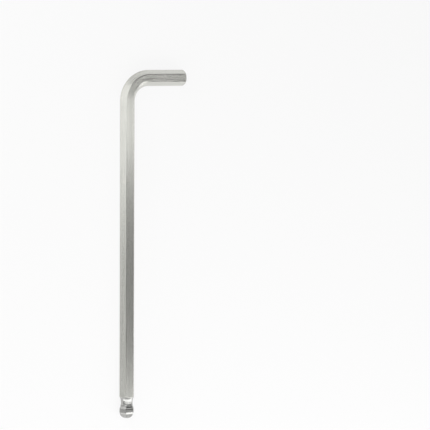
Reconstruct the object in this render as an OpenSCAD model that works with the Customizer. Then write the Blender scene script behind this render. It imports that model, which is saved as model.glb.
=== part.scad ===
// Hex key with a ball end, lying on its side as it comes to rest on a bench.
// The long arm runs along Y with the ball end at -Y, and the short arm points along +X.
// Two flats of the bar are level, and the lower one rests at z = 0.
// The origin is at z = 0 below the middle of the key's overall box.

/* [Bar] */
// Width of the hexagon bar across its flats
across_flats = 8; // [5:0.5:12]
// Radius on each long corner of the bar
corner_r = 0.45; // [0.2:0.05:0.7]

/* [Arms] */
// Length of the long arm, from the outside of the short arm to the tip of the ball
long_arm = 198; // [90:1:320]
// Length of the short arm, from the outside of the long arm to its end face
short_arm = 40; // [30:1:90]
// Radius of the bend, on the centre line of the bar
bend_r = 13; // [9:0.5:18]
// Length of the turned chamfer on the end of the short arm
end_chamfer = 0.5; // [0.2:0.1:1.2]
// Angle between that chamfer and the line of the arm
end_chamfer_angle = 50; // [30:1:60]

/* [Ball] */
// Length of the ball's straight middle, between its two rounded ends
ball_straight = 1.1; // [0.5:0.1:2]
// Depth of the ball's facets below the flats of the bar
facet_depth = 0.04; // [0.02:0.01:0.1]
// How far the ball's turned corners lie inside the sharp corners of a full hexagon
corner_cut = 0.1; // [0.05:0.01:0.3]
// Width of the small flat on the tip of the ball
tip_flat = 1.8; // [1:0.1:3]

/* [Neck] */
// Depth of the neck below the flats of the bar
neck_depth = 0.65; // [0.4:0.05:1]
// Length of the neck's straight middle
neck_length = 1.1; // [0.5:0.1:5]
// Radius of the hollow curve from the ball into the neck
ball_blend_r = 1.2; // [0.8:0.1:2]
// Height above the neck at which the ball's facets run out
facet_step = 0.05; // [0.02:0.01:0.15]

/* [Shoulder] */
// Radius of the hollow curve from the neck into the shoulder
shoulder_curve_r = 6.5; // [3:0.5:7]
// Angle between the shoulder's cone and the line of the arm
shoulder_angle = 22; // [15:1:25]
// Angle between the steeper cut at the bar's corners and the line of the arm
shoulder_chamfer_angle = 60; // [40:1:70]

/* [Hidden] */
$fn = 96;

// Length by which the bar stock and the cutting outlines pass the finished shape
spare = 2;

// The hexagon: half its width across flats, and the reach of its sharp and its rounded corners
flat_r = across_flats / 2;
sharp_r = flat_r / cos(30);
corner_at = (flat_r - corner_r) / cos(30);
bar_r = corner_at + corner_r;

// The two straight arms, from the ends of the bend
long_straight = long_arm - bar_r - bend_r;
short_straight = short_arm - bar_r - bend_r;

// Depth to which each hollow curve cuts into the surface beside it, so that the two cross at a clear angle
bite = 0.015;

// The ball, measured along the long arm from the tip
facet_r = flat_r - facet_depth;
ball_r = sharp_r - corner_cut;
ball_at = sqrt(facet_r * facet_r - tip_flat * tip_flat / 4);
ball_to = ball_at + ball_straight;

// The neck, between the middles of its two hollow curves
neck_r = flat_r - neck_depth;
step_r = neck_r + facet_step;
blend_x = neck_r + ball_blend_r - bite;
blend_reach = ball_r + ball_blend_r - bite;
neck_from = ball_to + sqrt(blend_reach * blend_reach - blend_x * blend_x);
neck_to = neck_from + neck_length;

// The shoulder: its hollow curve, the cone that the curve runs into and the cut at the bar's corners
curve_x = neck_r + shoulder_curve_r - bite;
cone_x = curve_x - (shoulder_curve_r - bite) * cos(shoulder_angle);
cone_from = neck_to + (shoulder_curve_r - bite) * sin(shoulder_angle);
cone_to = cone_from + (flat_r - cone_x) / tan(shoulder_angle);
shoulder_to = cone_to + (sharp_r - flat_r) / tan(shoulder_chamfer_angle);

// The chamfer on the end of the short arm, run out past the bar's corners
end_face_r = bar_r - end_chamfer * tan(end_chamfer_angle);
chamfer_from = short_straight - end_chamfer - spare / tan(end_chamfer_angle);

// The bar's section, with one pair of flats level and every corner rounded
module bar_section() {
    polygon([for (i = [0:5]) each [for (side = [-30, 30])
        corner_at * [cos(60 * i), sin(60 * i)] + corner_r * [cos(60 * i + side), sin(60 * i + side)]]]);
    for (i = [0:5])
        rotate(60 * i)
            translate([-corner_at, 0])
                circle(corner_r);
}

// Outline of the ball: a circle drawn out to an oval along the arm
module oval_outline(radius) {
    translate([0, ball_at])
        circle(radius);
    translate([-radius, ball_at])
        square([2 * radius, ball_straight]);
    translate([0, ball_to])
        circle(radius);
}

// Half of the ball's turned outline, with the tip at y = 0
module ball_outline() {
    intersection() {
        oval_outline(ball_r);
        square([ball_r + spare, ball_to + ball_r + spare]);
    }
}

// Half of the outline of the neck, the shoulder and the bar, before the hollow curves are cut
module neck_stock() {
    polygon([[0, ball_to], [blend_x, neck_from], [0, neck_from]]);
    polygon([[0, ball_to], [neck_r, ball_to], [neck_r, neck_to], [cone_x, neck_to], [cone_x, cone_from],
        [flat_r, cone_to], [sharp_r, shoulder_to], [sharp_r, long_straight + spare],
        [0, long_straight + spare]]);
}

// The two hollow curves, each a circle beside the neck
module neck_hollows() {
    translate([blend_x, neck_from])
        circle(ball_blend_r);
    intersection() {
        translate([curve_x, neck_to])
            circle(shoulder_curve_r);
        translate([0, ball_to])
            square([sharp_r + spare, cone_to - ball_to]);
    }
}

// Half of the outline that turning leaves on the long arm
module turned_outline() {
    ball_outline();
    difference() {
        neck_stock();
        neck_hollows();
    }
}

// Outline of one pair of facets, seen from the side: over the ball and its neck, and wider than the bar from there on
module facet_outline() {
    oval_outline(facet_r);
    translate([-step_r, ball_at])
        square([2 * step_r, neck_to + spare - ball_at]);
    translate([-sharp_r - spare, neck_to])
        square([2 * (sharp_r + spare), long_straight + 2 * spare - neck_to]);
}

// One pair of facets, cut right across the arm
module facet_pair() {
    rotate([90, 0, 0])
        linear_extrude(height = 4 * sharp_r, center = true)
            facet_outline();
}

// All that turning and cutting the facets leave, standing on the tip
module ball_end_form() {
    intersection() {
        rotate_extrude()
            turned_outline();
        rotate(30)
            facet_pair();
        rotate(90)
            facet_pair();
        rotate(150)
            facet_pair();
    }
}

// The long arm, hanging down from the bend
module long_arm_bar() {
    intersection() {
        rotate([180, 0, 0])
            linear_extrude(height = long_straight + spare)
                bar_section();
        translate([0, 0, -long_straight])
            ball_end_form();
    }
}

// The bend, a quarter turn around an upright axis
module bend() {
    rotate(90)
        rotate_extrude(angle = 90)
            translate([bend_r, 0])
                bar_section();
}

// The short arm, standing on the bend, with its end turned to a chamfer
module short_arm_bar() {
    intersection() {
        linear_extrude(height = short_straight + spare)
            bar_section();
        rotate_extrude()
            polygon([[0, -spare], [bar_r + spare, -spare], [bar_r + spare, chamfer_from],
                [end_face_r, short_straight], [0, short_straight]]);
    }
}

module hex_key() {
    color([0.76, 0.76, 0.74])
        translate([bar_r + bend_r - short_arm / 2, long_arm / 2 - bar_r - bend_r, flat_r]) {
            bend();
            translate([-bend_r, 0, 0])
                rotate([-90, 0, 0])
                    long_arm_bar();
            translate([0, bend_r, 0])
                rotate([90, 0, 90])
                    short_arm_bar();
        }
}

hex_key();
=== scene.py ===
# Hex key with a ball end, in satin plated steel, lying on a white floor
import math

import bpy
import numpy as np
from mathutils import Matrix, Vector


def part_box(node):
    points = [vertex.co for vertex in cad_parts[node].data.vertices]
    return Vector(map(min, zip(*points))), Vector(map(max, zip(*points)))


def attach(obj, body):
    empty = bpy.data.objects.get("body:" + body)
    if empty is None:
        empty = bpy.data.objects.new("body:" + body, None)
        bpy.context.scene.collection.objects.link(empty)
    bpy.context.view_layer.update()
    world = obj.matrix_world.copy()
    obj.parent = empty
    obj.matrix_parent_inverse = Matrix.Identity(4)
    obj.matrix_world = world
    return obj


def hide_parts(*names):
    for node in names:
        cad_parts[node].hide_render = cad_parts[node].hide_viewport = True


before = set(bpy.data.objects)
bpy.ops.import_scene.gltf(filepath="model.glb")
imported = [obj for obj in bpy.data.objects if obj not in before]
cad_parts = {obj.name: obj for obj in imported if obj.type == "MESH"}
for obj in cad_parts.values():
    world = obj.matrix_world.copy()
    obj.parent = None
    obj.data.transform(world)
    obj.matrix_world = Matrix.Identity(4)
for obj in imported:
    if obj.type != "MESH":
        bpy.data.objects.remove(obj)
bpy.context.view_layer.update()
mm = 0.001
lowCorner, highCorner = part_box("hex_key")

# Sizes of the key. The overall ones come from the frame.
key = {
    "acrossFlats": highCorner.z - lowCorner.z,
    "longArm": highCorner.y - lowCorner.y,
    "shortArm": highCorner.x - lowCorner.x,
    "cornerRadius": 0.45 * mm,      # on each long corner of the bar
    "bendRadius": 13 * mm,          # on the centre line
    "pressDepth": 0.7 * mm,         # how far the bending tool flattens the inner ridges, at most
    "pressShift": 1.2,              # above 1, they are flattened most past the middle, nearer to the short arm
    "pressAngle": 49,               # of the flattened faces, from the plane of the bend
    "pressSoftness": 0.4 * mm,      # width over which they run into the flats
    "endChamfer": 0.5 * mm,         # length of the chamfer on the short arm's end
    "endChamferAngle": 50,          # from the line of the arm
    "ballStraight": 1.1 * mm,       # between the ball's two rounded ends
    "facetDepth": 0.04 * mm,        # of the ball's facets, below the flats of the bar
    "cornerCut": 0.1 * mm,          # from a full hexagon's sharp corner to the ball's turned one
    "tipFlat": 1.8 * mm,            # width of the small flat on the tip
    "neckDepth": 0.65 * mm,         # below the flats of the bar
    "neckLength": 1.1 * mm,         # stretch between the neck's two curves
    "neckTaper": 1.8,               # how much that stretch opens toward the shoulder, in degrees
    "ballBlend": 1.2 * mm,          # radius of the curve from the ball into the neck
    "facetStep": 0.05 * mm,         # above the neck, where the ball's facets run out
    "shoulderCurve": 6.5 * mm,      # radius of the curve from the neck into the shoulder
    "shoulderAngle": 22,            # of the shoulder's cone, from the line of the arm
    "shoulderChamfer": 60,          # of the steeper cut at the bar's corners
    "edgeSoftness": 0.09 * mm,      # width over which a worked edge is rounded
}

# How finely the key's surface is divided
division = {
    "cornerSteps": 6,
    "flatSteps": 24,
    "flatCrowding": 1.7,            # crowds the steps on a flat toward its corners
    "ballStep": 0.08 * mm,
    "finePast": 0.54 * mm,          # how far the ball's fine steps run on past the shoulder
    "armStep": 4 * mm,
    "bendStep": 1.5,                # degrees
    "endLength": 1.5 * mm,          # of the finely divided end of the short arm
    "endSteps": 14,
    "capSteps": 6,
}


# The lesser of two reaches, with the edge where they cross rounded over a width
def softLess(first, second, width=key["edgeSoftness"]):
    near = np.clip(width - np.abs(first - second), 0, None) / width
    return np.minimum(first, second) - near * near * width / 4


# The radii of the key, and the distances from the tip at which its parts begin and end
def keyNumbers():
    flat = key["acrossFlats"] / 2
    sharp = flat / math.cos(math.radians(30))
    cornerAt = (flat - key["cornerRadius"]) / math.cos(math.radians(30))
    facetRadius = flat - key["facetDepth"]
    ballRadius = sharp - key["cornerCut"]
    ballAt = math.sqrt(facetRadius ** 2 - key["tipFlat"] ** 2 / 4)
    ballTo = ballAt + key["ballStraight"]
    neck = flat - key["neckDepth"]
    blend = key["ballBlend"]
    curve = key["shoulderCurve"]
    cone = math.radians(key["shoulderAngle"])
    taper = math.radians(key["neckTaper"])
    neckFrom = ballTo + math.sqrt((ballRadius + blend) ** 2 - (neck + blend) ** 2)
    neckTo = neckFrom + key["neckLength"]
    neckEnd = neck + key["neckLength"] * math.tan(taper)
    coneFrom = neckTo + curve * (math.sin(cone) - math.sin(taper))
    coneRadius = neckEnd + curve * (math.cos(taper) - math.cos(cone))
    coneTo = coneFrom + (flat - coneRadius) / math.tan(cone)
    return {
        "flat": flat, "cornerAt": cornerAt, "bar": cornerAt + key["cornerRadius"],
        "facetRadius": facetRadius, "ballRadius": ballRadius, "ballAt": ballAt, "ballTo": ballTo,
        "blendFrom": ballTo + (neckFrom - ballTo) * ballRadius / (ballRadius + blend),
        "neck": neck, "taper": taper, "neckFrom": neckFrom, "neckTo": neckTo, "neckEnd": neckEnd,
        "coneFrom": coneFrom, "coneRadius": coneRadius, "coneTo": coneTo,
        "shoulderTo": coneTo + (sharp - flat) / math.tan(math.radians(key["shoulderChamfer"])),
    }


size = keyNumbers()
endless = 1.0       # a reach that cuts nothing
tiny = 1e-9         # keeps a width above nothing
leastLean = 0.3     # below it, a pressed face is turned too far away to cut


# Reach of the plain bar's section at an angle, with its corners at 0, 60, 120 ... degrees
def barReach(angle):
    off = np.abs((angle + 30) % 60 - 30)
    radius = key["cornerRadius"]
    touch = math.degrees(math.atan2(radius / 2, size["cornerAt"] + radius * math.cos(math.radians(30))))
    across = size["cornerAt"] * np.sin(np.radians(off))
    rounded = size["cornerAt"] * np.cos(np.radians(off)) + np.sqrt(np.clip(radius ** 2 - across ** 2, 0, None))
    return np.where(off < touch, rounded, size["flat"] / np.cos(np.radians(30 - off)))


# Half the height of the ball's outline, which is a circle drawn out to an oval along the arm
def ovalReach(radius, along):
    off = max(size["ballAt"] - along, 0, along - size["ballTo"])
    return math.sqrt(max(radius ** 2 - off ** 2, 0))


# Radius that turning leaves at a distance from the tip
def turnedReach(along):
    if along < size["blendFrom"]:
        return ovalReach(size["ballRadius"], along)
    if along < size["neckFrom"]:
        blend = key["ballBlend"]
        return size["neck"] + blend - math.sqrt(blend ** 2 - (size["neckFrom"] - along) ** 2)
    if along < size["neckTo"]:
        return size["neck"] + (along - size["neckFrom"]) * math.tan(size["taper"])
    if along < size["coneFrom"]:
        curve = key["shoulderCurve"]
        run = along - size["neckTo"] + curve * math.sin(size["taper"])
        return size["neckEnd"] + curve * math.cos(size["taper"]) - math.sqrt(curve ** 2 - run ** 2)
    if along < size["coneTo"]:
        return size["coneRadius"] + (along - size["coneFrom"]) * math.tan(math.radians(key["shoulderAngle"]))
    steep = math.tan(math.radians(key["shoulderChamfer"]))
    return min(endless, size["flat"] + (along - size["coneTo"]) * steep)


# Distance from the centre line to each facet of the ball
def facetDistance(along):
    if along > size["neckTo"]:
        return endless
    reach = ovalReach(size["facetRadius"], along)
    if along > size["ballAt"]:
        reach = max(reach, size["neckEnd"] + key["facetStep"])
    return reach


# Share of the pressing along the bend, from the long arm's end of it at 0 to the short arm's at a quarter turn
def pressShare(course):
    return math.sin(math.pi * (course / (math.pi / 2)) ** key["pressShift"])


# Reach to the faces that the bending tool presses on the inner ridges
def pressReach(angle, course):
    depth = key["pressDepth"] * pressShare(course)
    touching = size["cornerAt"] * math.cos(math.radians(60 - key["pressAngle"])) + key["cornerRadius"]
    lean = np.cos(np.radians(np.abs(angle % 360 - 180) - key["pressAngle"]))
    return np.where(lean > leastLean, (touching - depth) / np.clip(lean, leastLean, 1), endless)


# Reach of the whole section, and where a tool has worked it. Along and left are the distances from the tip and to
# the short arm's end, and course is the direction of the centre line.
def sectionReach(angle, along, left, course):
    bar = barReach(angle)
    if 0 < course < math.pi / 2:
        bar = softLess(bar, pressReach(angle, course), key["pressSoftness"] * pressShare(course) + tiny)
    off = (angle + 30) % 60 - 30
    distance = facetDistance(along)
    facets = softLess(distance / np.cos(np.radians(30 - off)), distance / np.cos(np.radians(30 + off)))
    chamfer = math.tan(math.radians(key["endChamferAngle"]))
    endFace = size["bar"] - key["endChamfer"] * chamfer
    turned = min(turnedReach(along), endFace + left * chamfer)
    worked = softLess(np.full_like(angle, turned), facets)
    return softLess(bar, worked), worked < bar


# Angles of the points round one section, closer together at the corners of the bar
def ringAngles():
    touch = math.degrees(math.atan2(key["cornerRadius"] / 2,
                                    size["cornerAt"] + key["cornerRadius"] * math.cos(math.radians(30))))
    corner = [touch * (2 * i / division["cornerSteps"] - 1) for i in range(division["cornerSteps"])]
    half = division["flatSteps"] // 2
    rise = [(i / half) ** division["flatCrowding"] for i in range(half)]
    flat = [touch + (30 - touch) * share for share in rise]
    flat += [60 - touch - (30 - touch) * share for share in [1] + rise[:0:-1]]
    return np.array([60 * side + angle for side in range(6) for angle in corner + flat])


# Points along the centre line, each with its place, its direction and its distances from the tip and to the end
def stations():
    flatX = lowCorner.x + size["bar"]
    flatY = highCorner.y - size["bar"]
    bend = key["bendRadius"]
    straight = key["longArm"] - size["bar"] - bend
    shortArm = key["shortArm"] - size["bar"] - bend
    bendLength = bend * math.pi / 2
    total = straight + bendLength + shortArm
    fineTo = size["shoulderTo"] + division["finePast"]
    endFrom = total - division["endLength"]
    runs = [
        np.arange(0, fineTo, division["ballStep"]),
        np.arange(fineTo, straight, division["armStep"]),
        straight + np.arange(0, 90, division["bendStep"]) / 90 * bendLength,
        np.arange(straight + bendLength, endFrom, division["armStep"]),
        np.linspace(endFrom, total, division["endSteps"]),
    ]
    found = []
    for along in np.concatenate(runs):
        if along < straight:
            place, course = Vector((flatX, lowCorner.y + along, 0)), 0
        elif along < straight + bendLength:
            course = (along - straight) / bend
            place = Vector((flatX + bend - bend * math.cos(course), flatY - bend + bend * math.sin(course), 0))
        else:
            place, course = Vector((flatX + bend + along - straight - bendLength, flatY, 0)), math.pi / 2
        place.z = (lowCorner.z + highCorner.z) / 2
        found.append((place, course, along, total - along))
    return found


# The key as one closed mesh. It keeps each point's place on the straightened bar, and whether turning made it.
def buildKey():
    angles = ringAngles()
    count = len(angles)
    rings = stations()
    places, straightPlaces, turned = [], [], []

    def addRing(station, share):
        place, course, along, left = station
        outward = Vector((-math.cos(course), math.sin(course), 0))
        reach, isTurned = sectionReach(angles, along, left, course)
        for angle, far, worked in zip(np.radians(angles), reach * share, isTurned):
            across, up = far * math.cos(angle), far * math.sin(angle)
            places.append(place + outward * across + Vector((0, 0, up)))
            straightPlaces.append((across, up, along))
            turned.append(float(worked))

    inner = [(i + 1) / (division["capSteps"] + 1) for i in range(division["capSteps"])]
    for share in inner:
        addRing(rings[0], share)
    for station in rings:
        addRing(station, 1)
    for share in reversed(inner):
        addRing(rings[-1], share)
    ringCount = len(places) // count
    faces = []
    for ring in range(ringCount - 1):
        for i in range(count):
            j = (i + 1) % count
            a, b = ring * count, (ring + 1) * count
            faces.append((a + i, b + i, b + j, a + j))
    for ring, station, flip in ((0, rings[0], False), (ringCount - 1, rings[-1], True)):
        middle = len(places)
        places.append(station[0])
        straightPlaces.append((0, 0, station[2]))
        turned.append(1.0)
        for i in range(count):
            j = (i + 1) % count
            pair = (ring * count + i, ring * count + j)
            faces.append((middle, pair[1], pair[0]) if flip else (middle, pair[0], pair[1]))
    mesh = bpy.data.meshes.new("keyBar")
    mesh.from_pydata(places, [], faces)
    mesh.attributes.new("straight", "FLOAT_VECTOR", "POINT").data.foreach_set(
        "vector", np.array(straightPlaces).ravel())
    mesh.attributes.new("turned", "FLOAT", "POINT").data.foreach_set("value", np.array(turned))
    mesh.shade_smooth()
    mesh.update()
    piece = bpy.data.objects.new("key_bar", mesh)
    bpy.context.scene.collection.objects.link(piece)
    return piece


# A socket of a node tree, on which shader maths is written as plain expressions
class Wire:
    def __init__(self, tree, socket=None):
        self.tree = tree
        self.socket = socket

    # Any node: its settings first, then the values or links of its sockets
    def node(self, kind, settings=None, inputs=None, output=0):
        made = self.tree.nodes.new(kind)
        for name, value in (settings or {}).items():
            setattr(made, name, value)
        for name, value in (inputs or {}).items():
            if isinstance(value, Wire):
                self.tree.links.new(value.socket, made.inputs[name])
            else:
                made.inputs[name].default_value = value
        return Wire(self.tree, made.outputs[output])

    def maths(self, operation, first, second):
        return self.node("ShaderNodeMath", {"operation": operation}, {0: first, 1: second})

    # Blends two colours, which are a Mix node's sockets 6 and 7, into its output 2
    def blend(self, first, second):
        return self.node("ShaderNodeMix", {"data_type": "RGBA"}, {0: self, 6: first, 7: second}, 2)

    def __add__(self, other):
        return self.maths("ADD", self, other)

    def __radd__(self, other):
        return self.maths("ADD", other, self)

    def __sub__(self, other):
        return self.maths("SUBTRACT", self, other)

    def __rsub__(self, other):
        return self.maths("SUBTRACT", other, self)

    def __mul__(self, other):
        return self.maths("MULTIPLY", self, other)

    def __rmul__(self, other):
        return self.maths("MULTIPLY", other, self)

    def into(self, shader, name):
        self.tree.links.new(self.socket, shader.inputs[name])


def newMaterial(name):
    material = bpy.data.materials.new(name)
    material.use_nodes = True
    material.node_tree.nodes.clear()
    tree = material.node_tree
    return material, Wire(tree), tree.nodes.new("ShaderNodeOutputMaterial")


steel = {
    "barColour": (0.65, 0.65, 0.61, 1),         # of the drawn bar, slightly warm
    "turnedColourAndShade": (0.46, 0.46, 0.446, 1),     # of the turned ball end and the short arm's end: their turned finish, darkened further as painted shade for the dark reflections round the ball
    "lineSpacing": 0.10 * mm,       # between the drawn lines along the bar
    "lineRun": 30 * mm,             # how far such a line runs
    "lineHeight": 0.056 * mm,
    "lineDetail": 2.0,
    "linesLeft": 0.6,               # share of those lines left on worked surfaces
    "ringSpacing": 0.15 * mm,       # between the turning marks at the ball end
    "ringWidth": 50 * mm,           # far wider than the key, so that each mark runs right round it
    "ringHeight": 0.001 * mm,
    "bandSpacing": 1.2 * mm,        # between the broad, faint bands of shine along the bar
    "bandRun": 60 * mm,
    "barRoughness": 0.24,
    "barRoughnessChange": 0.10,     # from band to band
    "turnedRoughness": 0.14,
}


def platedSteel():
    material, wire, output = newMaterial("platedSteel")
    place = wire.node("ShaderNodeAttribute", {"attribute_name": "straight"}, output="Vector")
    turned = wire.node("ShaderNodeAttribute", {"attribute_name": "turned"}, output="Fac")

    def streaks(across, along, detail):
        stretched = wire.node("ShaderNodeVectorMath", {"operation": "MULTIPLY"},
                              {0: place, 1: (1 / across, 1 / across, 1 / along)})
        return wire.node("ShaderNodeTexNoise", {"noise_dimensions": "3D"},
                         {"Vector": stretched, "Scale": 1.0, "Detail": detail, "Roughness": 0.6})

    lines = streaks(steel["lineSpacing"], steel["lineRun"], steel["lineDetail"])
    rings = streaks(steel["ringWidth"], steel["ringSpacing"], 1.0)
    bands = streaks(steel["bandSpacing"], steel["bandRun"], 1.0)
    plain = 1 - turned
    drawn = 1 - turned * (1 - steel["linesLeft"])
    height = lines * drawn * steel["lineHeight"] + rings * turned * steel["ringHeight"]
    bump = wire.node("ShaderNodeBump", {}, {"Strength": 1.0, "Distance": 1.0, "Height": height})
    barRoughness = steel["barRoughness"] + (bands - 0.5) * steel["barRoughnessChange"]
    roughness = barRoughness * plain + turned * steel["turnedRoughness"]
    shader = wire.tree.nodes.new("ShaderNodeBsdfPrincipled")
    shader.inputs["Metallic"].default_value = 1
    # Turned surfaces take the darker colour, partly their own turned finish and partly painted shade standing in
    # for dark reflections on the ball
    turned.blend(steel["barColour"], steel["turnedColourAndShade"]).into(shader, "Base Color")
    roughness.into(shader, "Roughness")
    bump.into(shader, "Normal")
    wire.tree.links.new(shader.outputs[0], output.inputs[0])
    return material


floor = {
    "size": 3.0,
    "colour": (0.95, 0.95, 0.95, 1),
    "ownWhite": 0.85,               # share of its look that is plain white, and takes no shadow
}


# The floor keeps soft shadows, and its own white shows to the camera and in what reflects it
def whiteFloor():
    material, wire, output = newMaterial("whiteFloor")
    path = wire.tree.nodes.new("ShaderNodeLightPath")
    seen = [Wire(wire.tree, path.outputs[name])
            for name in ("Is Camera Ray", "Is Glossy Ray", "Is Transmission Ray")]
    anySeen = wire.maths("MAXIMUM", wire.maths("MAXIMUM", seen[0], seen[1]), seen[2])
    diffuse = wire.tree.nodes.new("ShaderNodeBsdfDiffuse")
    diffuse.inputs["Color"].default_value = floor["colour"]
    glow = wire.tree.nodes.new("ShaderNodeEmission")
    mix = wire.tree.nodes.new("ShaderNodeMixShader")
    (anySeen * floor["ownWhite"]).into(mix, 0)
    wire.tree.links.new(diffuse.outputs[0], mix.inputs[1])
    wire.tree.links.new(glow.outputs[0], mix.inputs[2])
    wire.tree.links.new(mix.outputs[0], output.inputs[0])
    material.cycles.emission_sampling = "NONE"      # its own white is no lamp
    return material


def buildFloor():
    mesh = bpy.data.meshes.new("floor")
    half = floor["size"] / 2
    level = lowCorner.z
    corners = [(-half, -half, level), (half, -half, level), (half, half, level), (-half, half, level)]
    mesh.from_pydata(corners, [], [(0, 1, 2, 3)])
    piece = bpy.data.objects.new("floor", mesh)
    bpy.context.scene.collection.objects.link(piece)
    mesh.materials.append(whiteFloor())


# Soft boxes, which stand round the long arm like the staves of a barrel. A turn is the angle of one stave, from
# 0 on the floor at the short arm's side, over the top, to 180 on the floor at the other side. The span is in
# metres along the arm, and glow is the brightness of the face, where 1 is as bright as the white floor. All of them
# are as wide as lampRing says, apart from those with a width of their own.
lamps = {
    "bendStrip": {"turns": (35, 62, 90), "span": (0.02, 0.092), "glow": 1.3},
    "bendEnd": {"turns": (35, 62), "span": (0.4, 0.6), "glow": 0.7},
    "middleFill": {"turns": (62, 90), "span": (-0.17, 0.02), "glow": 0.24},
    "frontNear": {"turns": (35, 62, 90), "span": (-0.27, -0.17), "glow": 2.1},
    "frontTop": {"turns": (118, 145), "span": (-0.27, -0.155), "glow": 1.5},
    "frontBand": {"turns": (35, 62, 90, 118, 145), "span": (-0.4, -0.27), "glow": 2.4},
    "frontLow": {"turns": (0,), "span": (-0.4, -0.17), "glow": 2.5, "width": 0.12},
    "frontLeft": {"turns": (180,), "span": (-0.38, -0.25), "glow": 3.0, "width": 0.12},
    "frontFar": {"turns": (0, 35, 62, 90, 118, 145, 180), "span": (-1.2, -0.4), "glow": 0.8},
    "leftWall": {"turns": (180,), "span": (-0.015, 0.6), "glow": 1.35},
    "leftHigh": {"turns": (145,), "span": (0.1, 0.6), "glow": 0.8},
    "topStrip": {"turns": (118,), "span": (0.02, 0.6), "glow": 1.75},
    "rightWall": {"turns": (0,), "span": (0, 0.6), "glow": 0.77},
}
lampRing = {"distance": 0.40, "width": 0.19}


def placeLamps():
    for name, lamp in lamps.items():
        first, last = lamp["span"]
        width = lamp.get("width", lampRing["width"])
        for turn in lamp["turns"]:
            outward = Vector((math.cos(math.radians(turn)), 0, math.sin(math.radians(turn))))
            place = lampRing["distance"] * outward + Vector((0, (first + last) / 2, 0))
            place.z = max(place.z, abs(outward.x) * width / 2) + lowCorner.z
            data = bpy.data.lights.new(name, "AREA")
            data.shape = "RECTANGLE"
            data.size, data.size_y = last - first, width
            data.energy = math.pi * data.size * data.size_y * lamp["glow"]
            light = bpy.data.objects.new(name, data)
            along = Vector((0, 1, 0))
            facing = Matrix((along, outward.cross(along), outward)).transposed()
            light.matrix_world = Matrix.Translation(place) @ facing.to_4x4()
            bpy.context.scene.collection.objects.link(light)


# The dim room beyond the lamps
room = {"grey": (0.065, 0.065, 0.065, 1)}


def buildRoom():
    world = bpy.data.worlds.new("room")
    world.use_nodes = True
    world.node_tree.nodes["Background"].inputs["Color"].default_value = room["grey"]
    bpy.context.scene.world = world


# The camera looks down at the key as it lies, from the photograph's angle
camera = {
    "turn": -28,                    # about the long arm, from straight above
    "tilt": -4.42,
    "roll": 0.30,
    "lens": 202.0,
    "sensorWidth": 36,
    "crossing": (-49.34 * mm, 77.21 * mm, -1360.2 * mm),   # where the arms' centre lines cross, as it sees them
}


def placeCamera():
    data = bpy.data.cameras.new("camera")
    data.lens = camera["lens"]
    data.sensor_width = camera["sensorWidth"]
    piece = bpy.data.objects.new("camera", data)
    turn = (Matrix.Rotation(math.radians(camera["turn"]), 3, "Y")
            @ Matrix.Rotation(math.radians(camera["tilt"]), 3, "X")
            @ Matrix.Rotation(math.radians(camera["roll"]), 3, "Z"))
    crossing = Vector((lowCorner.x + size["bar"], highCorner.y - size["bar"], (lowCorner.z + highCorner.z) / 2))
    piece.matrix_world = Matrix.Translation(crossing - turn @ Vector(camera["crossing"])) @ turn.to_4x4()
    bpy.context.scene.collection.objects.link(piece)
    bpy.context.scene.camera = piece


keyPiece = buildKey()
keyPiece.data.materials.append(platedSteel())
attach(keyPiece, "root")
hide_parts("hex_key")
print("key built:", len(keyPiece.data.polygons), "faces")

buildFloor()
placeLamps()
buildRoom()
placeCamera()
bpy.context.scene.view_settings.view_transform = "Standard"
print("stage, lamps and camera placed")
